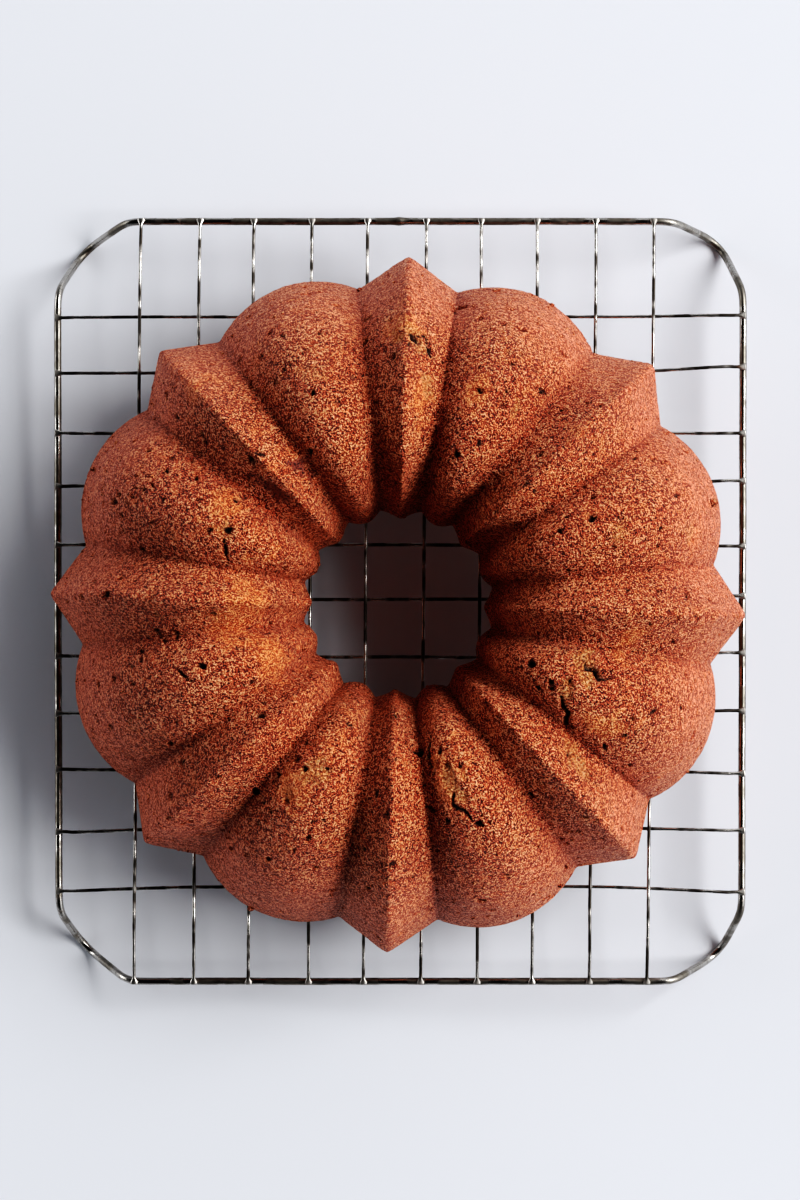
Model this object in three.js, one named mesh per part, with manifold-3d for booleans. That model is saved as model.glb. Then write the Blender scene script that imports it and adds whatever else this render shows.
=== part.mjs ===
// Spice ring cake on a wire cooling rack.
//
// Units are millimetres, +Z is up, +X is right and +Y is away from the viewer.
// The origin is on the table, under the middle of the whole object.
//
// The rack is one stout bent wire that dips to a foot at each corner, with a
// grid of thin wires on top: the cross wires run along X on the frame, and the
// long wires run along Y on the cross wires. The fluted ring cake lies on the
// long wires, upside down from how it was baked, so its flat side is below.
// Pieces that touch on the real object keep TOUCH_GAP between them.

import * as THREE from 'three';
import { mergeVertices } from 'three/addons/utils/BufferGeometryUtils.js';
import Module from 'manifold-3d';

// Gap kept between two pieces that touch.
const TOUCH_GAP = 0.3;

// Rack frame.
const FRAME_WIRE_R = 1.4;
const FRAME_WIRE_SIDES = 10;
const FRAME_CENTRE_Z = 18;
const FRAME_MID_X = 0.8;
const FRAME_HALF_X = 124.8;
const FRAME_HALF_Y = 138.6;
const FRAME_TAPER = 0.0023; // how much the half width grows for each mm towards +Y
const CORNER_START_X = 99.5; // where the far and near sides turn down to a foot
const CORNER_START_Y = 113; // where the left and right sides turn down to a foot
const FRAME_BEND_R = 9;
const BEND_STEPS = 4;
const FRAME_BUTT_GAP = 0.3; // between the two ends of the frame wire, on the far side

// Each foot's place, counted from the middle of the frame. The feet were bent
// by hand, so no two splay alike.
const FEET = [
  { x: 118.9, y: 133.4 },
  { x: 118.6, y: -131.5 },
  { x: -117.6, y: -128.6 },
  { x: -117.9, y: 130.3 },
];
const FOOT_FLAT_DEPTH = 0.25; // worn off the underside of each foot
const FOOT_BEND_R = 7;
const FOOT_PASSES = 6; // enough to settle a foot's height to a hundredth

// Thin wires.
const THIN_WIRE_R = 0.6;
const THIN_WIRE_SIDES = 6;
const CROSS_WIRE_STEPS = 10;
const WIRE_OVERHANG = 0.9; // how far a wire's end lies past the frame's centreline
const WIRE_PITCH = 20.75;
const WIRE_END_RUN = 22; // length at each end over which a long wire comes down

// Cross wires, from the far one to the near one. Each entry is how far the wire
// strays from even spacing, in mm, at its left end, its middle and its right end.
const CROSS_WIRE_FIRST_Y = 103.5;
const CROSS_WIRE_DRIFT = [
  [-0.2, 0.0, 0.7],
  [0.3, 0.3, 3.1],
  [-0.8, -0.8, -0.8],
  [0.7, 0.7, 3.1],
  [0.0, 0.0, -0.4],
  [1.0, 1.0, 2.4],
  [1.1, 0.7, 2.6],
  [1.0, 1.0, 2.2],
  [1.4, 1.1, -0.4],
  [-1.0, 0.8, -0.3],
  [-1.8, 0.0, -2.2],
];

// Long wires, from the left one to the right one. The grid is a little askew on
// the frame, so the near end of every wire lies further left than the far end.
const LONG_WIRE_FAR_X = -93.6;
const LONG_WIRE_NEAR_X = -96.1;
const LONG_WIRE_DRIFT = [
  [0.0, 0.0],
  [0.7, 0.8],
  [-0.4, 0.1],
  [-0.1, 1.2],
  [-0.5, 0.5],
  [0.2, 0.6],
  [-0.5, 0.3],
  [-1.0, -0.4],
  [-0.3, -0.4],
  [0.0, 0.0],
];

// Cake. FLUTES ridges alternate with as many rounded lobes.
const FLUTES = 8;
const CAKE_MID_X = 0;
const CAKE_MID_Y = -1.2;
const CAKE_TURN_DEG = -1.8;
const RIDGE_HALF_ANGLE_DEG = 9; // at the outer edge
const RIDGE_SPREAD_DEG = 3.5; // how much wider that angle is at the hole
const VALLEY_R = 115.8; // outline radius at the foot of the valleys
const RIDGE_TIP_R = 127; // outline radius at the ridges
const LOBE_ARC_R = 40.9; // plan radius of a lobe's round outline
const LOBE_ARC_MID_R = 82; // how far that arc's centre is from the cake's axis
const STEPS_PER_FLUTE = 10;
const FLUTE_RISE_RUN = 14; // height over which the flutes turn from level to square on

// Points on the valley's cross-section, from the outer edge of the flat
// underside, over the crown, to the inner edge: radius and height.
const VALLEY_SECTION = [
  [115.8, 0],
  [113.8, 9],
  [110.8, 20],
  [106.4, 32.5],
  [100, 45],
  [91.5, 55.5],
  [81.5, 63.5],
  [71.5, 68.3],
  [62, 69.6],
  [53.5, 67.3],
  [46, 60.5],
  [40.4, 49],
  [37, 34.5],
  [34.9, 17],
  [33.5, 0],
];

// How much deeper the valleys are than a scaled outline would make them: share
// of the way to the hole, and depth in mm.
const VALLEY_CUT = [
  [0, 0],
  [0.12, 1],
  [0.28, 3.6],
  [0.45, 5.6],
  [0.62, 6],
  [0.78, 3.8],
  [1, 0.9],
];

const CROSS_WIRE_Z = FRAME_CENTRE_Z + FRAME_WIRE_R + TOUCH_GAP + THIN_WIRE_R;
const LONG_WIRE_Z = CROSS_WIRE_Z + 2 * THIN_WIRE_R + TOUCH_GAP;
const CAKE_BASE_Z = LONG_WIRE_Z + THIN_WIRE_R + TOUCH_GAP;

const CRUST = { color: 0xa8562c, roughness: 0.85, metalness: 0 };
const DARK_STEEL = { color: 0x6b6459, roughness: 0.45, metalness: 1 };
const BRIGHT_STEEL = { color: 0x98948c, roughness: 0.35, metalness: 1 };

const wasm = await Module();
wasm.setup();

const toRad = THREE.MathUtils.degToRad;

function named(name, geometry, look) {
  const mesh = new THREE.Mesh(geometry, new THREE.MeshStandardMaterial(look));
  mesh.name = name;
  return mesh;
}

function toSolid(geometry) {
  const bare = geometry.clone();
  bare.deleteAttribute('normal');
  bare.deleteAttribute('uv');
  const merged = mergeVertices(bare, 1e-4);
  const vertProperties = Float32Array.from(merged.attributes.position.array);
  const triVerts = Uint32Array.from(merged.index.array);
  return new wasm.Manifold(new wasm.Mesh({ numProp: 3, vertProperties, triVerts }));
}

function fromSolid(solid) {
  const mesh = solid.getMesh();
  const geometry = new THREE.BufferGeometry();
  geometry.setAttribute('position', new THREE.BufferAttribute(mesh.vertProperties, 3));
  geometry.setIndex(new THREE.BufferAttribute(mesh.triVerts, 1));
  geometry.computeVertexNormals();
  return geometry;
}

// A path through given points that is cut into exactly one step for each pair,
// so straight stretches stay one step long and bends stay fine.
class StepPath extends THREE.Curve {
  constructor(points) {
    super();
    this.points = points;
  }

  get steps() {
    return this.points.length - 1;
  }

  getUtoTmapping(u) {
    return u;
  }

  getPoint(t, target = new THREE.Vector3()) {
    const along = THREE.MathUtils.clamp(t, 0, 1) * this.steps;
    const index = Math.min(Math.floor(along), this.steps - 1);
    return target.lerpVectors(this.points[index], this.points[index + 1], along - index);
  }
}

// Points of a corner rounded at the given radius, between the corners before
// and after it.
function roundedCorner(before, corner, after, radius) {
  const inward = before.clone().sub(corner).normalize();
  const outward = after.clone().sub(corner).normalize();
  const halfAngle = inward.angleTo(outward) / 2;
  const cut = radius / Math.tan(halfAngle);
  const start = corner.clone().addScaledVector(inward, cut);
  const end = corner.clone().addScaledVector(outward, cut);
  const towards = inward.clone().add(outward).normalize();
  const centre = corner.clone().addScaledVector(towards, radius / Math.sin(halfAngle));
  const from = start.clone().sub(centre);
  const sweep = Math.PI - 2 * halfAngle;
  const axis = from.clone().cross(end.clone().sub(centre)).normalize();
  const points = [];
  for (let i = 0; i <= BEND_STEPS; i += 1) {
    points.push(from.clone().applyAxisAngle(axis, (sweep * i) / BEND_STEPS).add(centre));
  }
  return points;
}

function wireAlong(points, radius, sides) {
  const outline = [];
  for (let i = 0; i < sides; i += 1) {
    const angle = ((i + 0.5) / sides) * 2 * Math.PI;
    outline.push(new THREE.Vector2(radius * Math.cos(angle), radius * Math.sin(angle)));
  }
  const path = new StepPath(points);
  return new THREE.ExtrudeGeometry(new THREE.Shape(outline), {
    steps: path.steps,
    extrudePath: path,
    bevelEnabled: false,
  });
}

function frameHalfX(y) {
  return FRAME_HALF_X + FRAME_TAPER * y;
}

// Corner points of the frame wire's route, from the butt joint on the far side
// round to the right and back, three to each corner with its foot in the middle.
function frameCorners() {
  const footZ = FRAME_WIRE_R - FOOT_FLAT_DEPTH;
  const at = (x, y, z) => new THREE.Vector3(x + FRAME_MID_X, y, z);
  const corners = [];
  FEET.forEach((foot, i) => {
    const right = Math.sign(foot.x);
    const far = Math.sign(foot.y);
    const onEnd = at(right * CORNER_START_X, far * FRAME_HALF_Y, FRAME_CENTRE_Z);
    const sideY = far * CORNER_START_Y;
    const onSide = at(right * frameHalfX(sideY), sideY, FRAME_CENTRE_Z);
    const bottom = at(foot.x, foot.y, footZ);
    const turn = i % 2 === 0 ? [onEnd, bottom, onSide] : [onSide, bottom, onEnd];
    corners.push(...turn);
  });
  return corners;
}

// The corner of a foot, moved down until the lowest point of its rounded bend
// is at the height that the corner was given.
function loweredFoot(before, corner, after) {
  const lowered = corner.clone();
  for (let pass = 0; pass < FOOT_PASSES; pass += 1) {
    const bend = roundedCorner(before, lowered, after, FOOT_BEND_R);
    const lowest = Math.min(...bend.map((point) => point.z));
    lowered.z += corner.z - lowest;
  }
  return lowered;
}

function frameRoute() {
  const corners = frameCorners();
  const start = new THREE.Vector3(FRAME_MID_X + FRAME_BUTT_GAP / 2, FRAME_HALF_Y, FRAME_CENTRE_Z);
  const end = start.clone().setX(FRAME_MID_X - FRAME_BUTT_GAP / 2);
  const around = [start, ...corners, end];
  const isFoot = (i) => i % 3 === 2;
  for (let i = 1; i <= corners.length; i += 1) {
    if (isFoot(i)) {
      around[i] = loweredFoot(around[i - 1], around[i], around[i + 1]);
    }
  }
  const route = [start];
  for (let i = 1; i <= corners.length; i += 1) {
    const radius = isFoot(i) ? FOOT_BEND_R : FRAME_BEND_R;
    route.push(...roundedCorner(around[i - 1], around[i], around[i + 1], radius));
  }
  route.push(end);
  return route;
}

function frameWire() {
  const tube = toSolid(wireAlong(frameRoute(), FRAME_WIRE_R, FRAME_WIRE_SIDES));
  const depth = 2 * FRAME_WIRE_R;
  const table = new THREE.BoxGeometry(4 * FRAME_HALF_X, 4 * FRAME_HALF_Y, depth);
  table.translate(0, 0, -depth / 2);
  return named('frame_wire', fromSolid(tube.subtract(toSolid(table))), DARK_STEEL);
}

function crossWire(index) {
  const y = CROSS_WIRE_FIRST_Y - WIRE_PITCH * index;
  const [left, middle, right] = CROSS_WIRE_DRIFT[index].map((drift) => y + drift);
  const reach = frameHalfX(y) + WIRE_OVERHANG;
  const route = new THREE.CatmullRomCurve3([
    new THREE.Vector3(FRAME_MID_X - reach, left, CROSS_WIRE_Z),
    new THREE.Vector3(FRAME_MID_X - reach * 0.6, middle, CROSS_WIRE_Z),
    new THREE.Vector3(FRAME_MID_X, middle, CROSS_WIRE_Z),
    new THREE.Vector3(FRAME_MID_X + reach * 0.6, middle, CROSS_WIRE_Z),
    new THREE.Vector3(FRAME_MID_X + reach, right, CROSS_WIRE_Z),
  ]);
  const geometry = wireAlong(route.getSpacedPoints(CROSS_WIRE_STEPS), THIN_WIRE_R, THIN_WIRE_SIDES);
  return named(`cross_wire_${String(index + 1).padStart(2, '0')}`, geometry, BRIGHT_STEEL);
}

function longWire(index) {
  const [farDrift, nearDrift] = LONG_WIRE_DRIFT[index];
  const farX = LONG_WIRE_FAR_X + WIRE_PITCH * index + farDrift;
  const nearX = LONG_WIRE_NEAR_X + WIRE_PITCH * index + nearDrift;
  const reach = FRAME_HALF_Y + WIRE_OVERHANG;
  const flat = reach - WIRE_END_RUN;
  const point = (y, z) => {
    const x = THREE.MathUtils.mapLinear(y, -reach, reach, nearX, farX);
    return new THREE.Vector3(x, y, z);
  };
  const tip = reach - 2 * FRAME_WIRE_R - 2;
  const route = [
    point(-reach, CROSS_WIRE_Z),
    point(-tip, CROSS_WIRE_Z),
    point(-flat, LONG_WIRE_Z),
    point(0, LONG_WIRE_Z),
    point(flat, LONG_WIRE_Z),
    point(tip, CROSS_WIRE_Z),
    point(reach, CROSS_WIRE_Z),
  ];
  const geometry = wireAlong(route, THIN_WIRE_R, THIN_WIRE_SIDES);
  return named(`long_wire_${String(index + 1).padStart(2, '0')}`, geometry, BRIGHT_STEEL);
}

// An angle counted from the nearest ridge's crest, without its sign.
function angleFromRidge(angle) {
  const period = (2 * Math.PI) / FLUTES;
  return Math.abs(THREE.MathUtils.euclideanModulo(angle + period / 2, period) - period / 2);
}

// Outline radius of the cake's underside, for an angle from a ridge's crest: a
// straight line in plan on the ridge, and an arc on the lobe.
function outlineRadius(angle) {
  const offset = angleFromRidge(angle);
  const valley = toRad(RIDGE_HALF_ANGLE_DEG);
  if (offset < valley) {
    const footX = VALLEY_R * Math.cos(valley);
    const footY = VALLEY_R * Math.sin(valley);
    const across = footY * Math.cos(offset) + (RIDGE_TIP_R - footX) * Math.sin(offset);
    return (RIDGE_TIP_R * footY) / across;
  }
  const fromLobe = Math.PI / FLUTES - offset;
  const across = LOBE_ARC_MID_R * Math.sin(fromLobe);
  return LOBE_ARC_MID_R * Math.cos(fromLobe) + Math.sqrt(LOBE_ARC_R ** 2 - across ** 2);
}

// How far down in a valley an angle is: 1 at a valley's foot, and 0 on a ridge's
// crest or in the middle of a lobe.
function hollowShare(angle) {
  const onRidge = angleFromRidge(angle) < toRad(RIDGE_HALF_ANGLE_DEG);
  const highest = onRidge ? RIDGE_TIP_R : LOBE_ARC_MID_R + LOBE_ARC_R;
  return 1 - (outlineRadius(angle) - VALLEY_R) / (highest - VALLEY_R);
}

function valleyCut(inward) {
  const i = VALLEY_CUT.findLastIndex(([share]) => share <= inward);
  const [share, depth] = VALLEY_CUT[i];
  const [nextShare, nextDepth] = VALLEY_CUT[Math.min(i + 1, VALLEY_CUT.length - 1)];
  return nextShare > share
    ? THREE.MathUtils.mapLinear(inward, share, nextShare, depth, nextDepth)
    : depth;
}

// Where an angle of the underside's outline goes on a section row, given as the
// share of the way to the hole: the ridges take more of the turn there.
function spreadAngle(angle, inward) {
  const outer = toRad(RIDGE_HALF_ANGLE_DEG);
  const inner = outer + toRad(RIDGE_SPREAD_DEG) * inward ** 2;
  const half = Math.PI / FLUTES;
  const offset = angleFromRidge(angle);
  const spread = offset < outer
    ? (offset * inner) / outer
    : inner + ((offset - outer) * (half - inner)) / (half - outer);
  const period = 2 * half;
  const ridge = Math.round(angle / period) * period;
  return ridge + Math.sign(angle - ridge) * spread;
}

// Outward direction at each point of the valley's section. It turns level at
// the flat underside, so that the flutes there stand straight out.
function sectionNormals(section) {
  return section.map(([, z], i) => {
    const before = section[Math.max(i - 1, 0)];
    const after = section[Math.min(i + 1, section.length - 1)];
    const normal = new THREE.Vector2(after[1] - before[1], before[0] - after[0]).normalize();
    normal.y *= THREE.MathUtils.smoothstep(z, 0, FLUTE_RISE_RUN);
    return normal.normalize();
  });
}

function ringCake() {
  const normals = sectionNormals(VALLEY_SECTION);
  const closed = [...VALLEY_SECTION, VALLEY_SECTION[0]];
  const profile = closed.map(([r, z]) => new THREE.Vector2(r, z));
  const segments = FLUTES * STEPS_PER_FLUTE;
  const geometry = new THREE.LatheGeometry(profile, segments);
  const position = geometry.attributes.position;
  for (let i = 0; i < position.count; i += 1) {
    const angle = (Math.floor(i / closed.length) / segments) * 2 * Math.PI;
    const row = (i % closed.length) % VALLEY_SECTION.length;
    const [r, z] = VALLEY_SECTION[row];
    const inward = row / (VALLEY_SECTION.length - 1);
    const widened = r * (outlineRadius(angle) / VALLEY_R - 1);
    const proud = widened - valleyCut(inward) * hollowShare(angle);
    const radius = r + normals[row].x * proud;
    const height = z + normals[row].y * proud;
    const turned = spreadAngle(angle, inward);
    position.setXYZ(i, radius * Math.cos(turned), radius * Math.sin(turned), height);
  }
  const cake = named('ring_cake', fromSolid(toSolid(geometry)), CRUST);
  cake.rotation.z = toRad(CAKE_TURN_DEG);
  cake.position.set(CAKE_MID_X, CAKE_MID_Y, CAKE_BASE_Z);
  return cake;
}

const rack = new THREE.Group();
rack.add(frameWire());
CROSS_WIRE_DRIFT.forEach((_, index) => rack.add(crossWire(index)));
LONG_WIRE_DRIFT.forEach((_, index) => rack.add(longWire(index)));

const group = new THREE.Group();
group.add(rack, ringCake());

export default group;
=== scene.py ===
# Looks of the spice ring cake on its wire cooling rack.
#
# Metres, +Z up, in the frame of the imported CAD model. Lengths that are easier
# to read in millimetres are written as a number times MM.
import itertools
import math

import bpy
import numpy as np
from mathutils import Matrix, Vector


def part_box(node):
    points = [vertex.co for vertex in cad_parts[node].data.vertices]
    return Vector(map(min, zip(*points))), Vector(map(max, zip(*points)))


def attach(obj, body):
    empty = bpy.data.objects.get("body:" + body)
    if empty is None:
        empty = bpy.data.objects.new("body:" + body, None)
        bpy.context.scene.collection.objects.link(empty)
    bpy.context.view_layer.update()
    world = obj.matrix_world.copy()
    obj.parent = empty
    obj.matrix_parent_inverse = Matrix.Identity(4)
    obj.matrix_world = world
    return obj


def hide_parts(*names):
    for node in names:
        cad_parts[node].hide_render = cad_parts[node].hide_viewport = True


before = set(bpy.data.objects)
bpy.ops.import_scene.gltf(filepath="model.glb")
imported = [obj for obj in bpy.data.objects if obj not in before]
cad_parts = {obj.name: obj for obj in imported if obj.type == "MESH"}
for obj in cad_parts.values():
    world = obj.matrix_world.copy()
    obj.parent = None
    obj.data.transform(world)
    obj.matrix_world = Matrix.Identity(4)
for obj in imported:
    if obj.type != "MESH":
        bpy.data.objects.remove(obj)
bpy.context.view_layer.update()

MM = 0.001

# Camera: straight down on the rack, as in the photograph.
CAMERA_HEIGHT = 950 * MM  # above the rack's wires
CAMERA_SHIFT_X = -0.11 * MM
CAMERA_SHIFT_Y = 0.47 * MM
CAMERA_LENS = 78.3
CAMERA_SENSOR = 36.0
CAMERA_CLIP = (0.05, 40)  # metres

# Light: azimuth, elevation, distance, width, height, power and colour.
WINDOW = (15, 42, 5.0, 4.4, 2.1, 325, (1.0, 0.99, 0.975))
REFLECTOR = (168, 18, 5.0, 4.0, 1.6, 75, (1.0, 1.0, 1.0))
GLOW = (1.20, 1.21, 1.24)
GLOW_AZIMUTH = 18
GLOW_SIDE = (0.10, 0.55)  # cosines of the angle from the glow's direction
GLOW_TOP = (0.83, 0.65)  # sines of elevation between which it fades in, downwards
ROOM_AROUND = (0.33, 0.34, 0.36)
ROOM_OVERHEAD = (0.012, 0.012, 0.012)
ROOM_TOP = (0.66, 0.34)  # sines of elevation from the dark overhead to the room's walls
LIGHT_AIM_Z = 0.06  # metres above the table
CONTRAST = [
    # (brightness, what it becomes)
    (0.03, 0.006), (0.06, 0.021), (0.115, 0.064), (0.175, 0.137), (0.25, 0.24), (0.5, 0.52),
]
FLOOR_HALF = 12.0  # metres
FLOOR_COLOUR = (0.70, 0.725, 0.78, 1)

# Cake shape, drawn in mm for a cake whose outline is DRAWN_WIDTH across.
DRAWN_WIDTH = 254.0
FLUTES = 8
TURN_DEG = -1.8
RIDGE_HALF_ANGLE_DEG = 9.0
RIDGE_SPREAD_DEG = 3.5
VALLEY_R = 115.8
RIDGE_TIP_R = 127.0
LOBE_ARC_R = 40.9
LOBE_ARC_MID_R = 82.0
FLUTE_RISE_RUN = 14.0
SECTION = [
    # (radius, height), in a valley, from the outer edge over the top into the hole
    (115.8, 0), (113.8, 9), (110.8, 20), (106.4, 32.5), (100, 45),
    (91.5, 55.5), (81.5, 63.5), (71.5, 68.3), (62, 69.6), (53.5, 67.3),
    (46, 60.5), (40.4, 49), (37, 34.5), (34.9, 17), (33.5, 0),
]
SECTION_SAMPLES = 1400
OUTER_ANGLES = 1152
CREST_R = 70  # mm out to the top of the ring, between its outside and its hole
SPLIT_R = 74.0  # inside this radius the mesh has half as many angles
OUTER_STEP = 0.62  # mm between rows
INNER_STEP = 0.74
UNDERSIDE_STEPS = 39
RIDGE_SHARE = RIDGE_TIP_R / VALLEY_R - 1
LOBE_SHARE = (LOBE_ARC_MID_R + LOBE_ARC_R) / VALLEY_R - 1
VALLEY_CUT = [
    # (share of the way inwards, mm that the valleys are deeper there)
    (0, 0), (0.12, 1.0), (0.28, 3.6), (0.45, 5.6), (0.62, 6.0), (0.78, 3.8), (1, 0.9),
]
CREST_BLUR = 0.9  # mm, rounds the ridges' crests
VALLEY_BLUR = 0.3  # mm, rounds the bottoms of the valleys
CREST_SPAN = (0.03, 0.10)  # radians from a crest, from the first blur to the second
SINK = 0.35  # mm that the crumb settles onto the wires

# Kinds of place on the cake. A pair gives the values between which one sets in or fades.
LOBE_VALLEY_REACH = 2.4  # mm that a valley's shade reaches up the lobe
RIDGE_VALLEY_REACH = 0.9  # mm that it reaches up the ridge
FLANK_SLOPE = (0.62, 0.95)  # outward part of the section's normal
INSIDE_SHARE = (0.72, 0.90)  # share of the way inwards
CREST_REACH = (0.5, 3.5)  # mm from the crest

# Unevenness, in mm: (height, size across, seed).
LOBE_LUMPS = [(0.95, 46, 11), (0.42, 15, 12), (0.20, 4.2, 13)]
CRUMB_GRAIN = [(0.20, 1.7, 14), (0.19, 1.05, 16)]
CREST_GRAIN = [(0.5, 2.3, 17)]
UNDERSIDE_GRAIN = [(0.25, 2.4, 21)]
CREST_WEAR = 0.1  # mm worn off the crests
FLANK_SMOOTHING = 0.1  # share of the crumb's grain that is missing on the flanks
EVEN_BASE = (0.3, 6)  # heights over which the unevenness sets in
EDGE_ROUND = 1.8  # how far the lower edges are rounded
EDGE_SPAN = (-0.5, 3.2)  # heights over which they are rounded
UNDERSIDE_RISE = 0.15  # how far the underside's middle stands clear of its edge

# Marks on the crust, in mm: direction from the cake's middle in degrees
# (0 is +X, anticlockwise) and distance from its middle.
PITS = [
    # (direction, distance, width, stretch, slant in degrees)
    (86, 91, 3.0, 1.5, 60), (84, 86, 1.8, 1.0, 0), (97, 91, 2.2, 1.2, 0),
    (79, 106, 3.4, 1.9, 90), (83, 88, 2.0, 2.2, 0), (91, 84, 1.7, 1.3, 0),
    (56, 88, 2.6, 1.8, 90), (51, 95, 2.0, 1.0, 0), (50, 87, 2.1, 1.2, 30),
    (63, 81, 1.7, 1.0, 0), (63, 61, 2.0, 1.3, 20), (69, 54, 2.2, 1.2, 0),
    (24, 71, 2.8, 1.3, 40), (25, 60, 2.0, 1.0, 0), (28, 64, 1.7, 1.2, 60),
    (16, 93, 2.0, 1.2, 0), (33, 98, 1.8, 1.0, 0), (40, 60, 1.8, 1.1, 0),
    (336, 49, 2.9, 1.3, 20), (333, 57, 2.1, 1.2, 0), (329, 55, 1.8, 1.0, 0),
    (319, 77, 2.2, 1.4, 70), (340, 104, 1.8, 1.0, 0), (315, 110, 2.0, 1.1, 0),
    (311, 107, 1.8, 1.0, 0), (352, 95, 1.6, 1.0, 0), (347, 112, 1.7, 1.0, 0),
    (325, 97, 1.6, 1.2, 0), (269, 88, 3.0, 1.2, 0), (264, 98, 2.0, 1.0, 0),
    (279, 51, 2.4, 1.1, 0), (291, 58, 1.9, 1.0, 0), (270, 52, 1.8, 1.0, 0),
    (262, 84, 1.9, 1.1, 0), (276, 103, 1.8, 1.0, 0), (287, 112, 1.8, 1.0, 0),
    (290, 79, 2.8, 1.1, 0), (283, 75, 1.8, 1.2, 0), (233, 80, 2.2, 1.3, 0), (243, 98, 2.0, 1.1, 0),
    (240, 63, 2.0, 1.5, 40), (247, 60, 1.7, 1.2, 0), (251, 77, 1.6, 1.0, 0),
    (236, 56, 1.8, 1.0, 0), (223, 108, 2.1, 1.2, 0), (203, 109, 3.0, 1.2, 30),
    (195, 108, 2.0, 1.0, 0), (197, 69, 2.8, 1.3, 120), (186, 83, 2.2, 1.2, 0),
    (190, 89, 1.9, 1.0, 0), (183, 62, 2.0, 1.2, 0), (216, 92, 2.2, 1.2, 0),
    (178, 100, 3.0, 1.1, 0), (168, 89, 2.4, 1.2, 0), (162, 100, 2.0, 1.2, 0),
    (156, 62, 3.0, 1.4, 50), (147, 65, 2.0, 1.2, 0), (132, 69, 2.6, 1.5, 30),
    (128, 106, 1.9, 1.1, 0), (123, 101, 2.0, 1.2, 0), (150, 91, 2.0, 1.2, 0),
    (144, 76, 1.8, 1.0, 0), (173, 62, 1.7, 1.0, 0), (112, 77, 1.8, 1.1, 0),
    (106, 97, 1.7, 1.0, 0), (120, 60, 1.8, 1.1, 0), (4, 78, 1.8, 1.1, 0),
    (8, 104, 1.7, 1.0, 0), (0, 66, 1.7, 1.3, 0), (208, 58, 1.7, 1.0, 0),
]
CRACKS = [
    # (width, depth, then points of (direction, distance))
    (2.1, 2.3, [(344, 65), (342, 67), (342, 70), (340, 72), (341, 76)]),
    (1.9, 2.1, [(330, 63), (328, 66), (327, 68), (324, 70), (325, 73)]),
    (1.3, 1.2, [(284, 46), (282, 50), (281, 54), (282, 58)]),
    (1.6, 1.5, [(286, 66), (285, 70), (288, 73), (289, 77)]),
    (1.2, 1.3, [(160, 62), (163, 61), (166, 59)]),
    (1.2, 1.3, [(196, 78), (198, 76), (200, 74)]),
    (1.3, 1.4, [(89, 95), (87, 92), (84, 92), (83, 88)]),
]
TORN_PATCHES = [
    # (direction, distance, width, stretch, slant, how pale)
    (86, 91, 9.0, 1.3, 20, 0.8), (82, 75, 5.0, 2.6, 10, 0.7),
    (342, 66, 9.0, 1.5, 120, 1.0), (333, 62, 5.0, 1.6, 90, 0.9),
    (287, 62, 6.0, 2.6, 10, 0.9), (319, 82, 7.0, 2.6, 0, 0.7),
    (243, 63, 10.0, 1.2, 30, 0.8), (240, 74, 5.0, 1.4, 60, 0.7),
    (59, 76, 4.0, 2.4, 0, 0.7), (18, 78, 7.0, 1.5, 60, 0.6),
    (14, 104, 6.0, 1.3, 0, 0.5), (156, 63, 6.0, 1.3, 40, 0.6),
    (183, 63, 8.0, 1.6, 90, 0.4), (205, 100, 5.0, 1.3, 0, 0.4),
    (110, 84, 8.0, 1.5, 30, 0.4), (230, 104, 5.0, 1.3, 0, 0.4),
]
GOLDEN_PATCHES = [
    # (direction, distance, width, stretch, slant)
    (176, 50, 15, 1.4, 90), (203, 46, 15, 1.5, 90), (150, 67, 11, 1.3, 40),
    (241, 71, 13, 1.3, 0), (285, 61, 11, 2.0, 0), (329, 80, 11, 1.6, 0),
    (134, 102, 8, 1.6, 0), (70, 77, 9, 1.6, 0), (12, 106, 8, 1.3, 0),
    (87, 95, 8, 1.5, 0), (84, 70, 7, 2.2, 0), (352, 80, 9, 1.4, 60),
]
GLOSSY_PATCHES = [
    # (direction, distance, width, stretch, slant)
    (137, 57, 7, 2.4, 0),
]
PIT_DEPTH = 0.75  # of its width
RANDOM_PITS = 620
RANDOM_PIT_WIDTH = (1.0, 1.2)  # mm: the least, and how much more at most
RANDOM_PIT_DEPTH = 0.7  # of its width
# Painted shade in the random pits: how dark each one is made.
RANDOM_PIT_SHADE = (0.45, 0.5)  # the least, and how much more at most
CRUMBS = [
    # (direction, height above the cake's base, width, 1 on the outside or -1 in the hole)
    (18, 24, 3.8, 1), (156, 17, 2.4, 1), (244, 8, 2.4, 1), (300, 12, 2.0, 1),
    (97, 8, 2.0, 1), (63, 10, 1.6, 1), (204, 44, 2.6, -1), (172, 38, 2.2, -1),
    (188, 52, 2.0, -1), (215, 40, 1.8, -1), (150, 46, 1.8, -1),
]
CRUMB_SHAPE = (0.5, 0.42, 0.36)  # half sizes, as shares of the width
TINY_CRUMBS = 900
TINY_CRUMB_HALF = (0.28, 0.42)  # mm: the least, and how much more at most
TINY_CRUMBS_ABOVE = 2.5  # mm above the base

# Crust colours, from the gaps to the tops of the crumbs: (crumb height, colour).
# Torn crumb goes by a coarser noise of its own.
CRUST_STOPS = [
    (0.425, (0.075, 0.0050, 0.0016)),
    (0.460, (0.260, 0.0270, 0.0076)),
    (0.497, (0.550, 0.0900, 0.0290)),
    (0.533, (0.800, 0.2200, 0.0860)),
    (0.575, (0.955, 0.5000, 0.2850)),
]
GOLDEN_STOPS = [
    (0.430, (0.40, 0.058, 0.012)),
    (0.497, (0.84, 0.210, 0.062)),
    (0.570, (0.98, 0.450, 0.205)),
]
FLANK_STOPS = [
    (0.430, (0.24, 0.031, 0.011)),
    (0.497, (0.49, 0.100, 0.038)),
    (0.575, (0.80, 0.295, 0.155)),
]
TORN_STOPS = [
    (0.38, (0.10, 0.013, 0.003)),
    (0.46, (0.50, 0.140, 0.032)),
    (0.54, (0.84, 0.310, 0.105)),
    (0.62, (0.96, 0.600, 0.330)),
]
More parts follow.
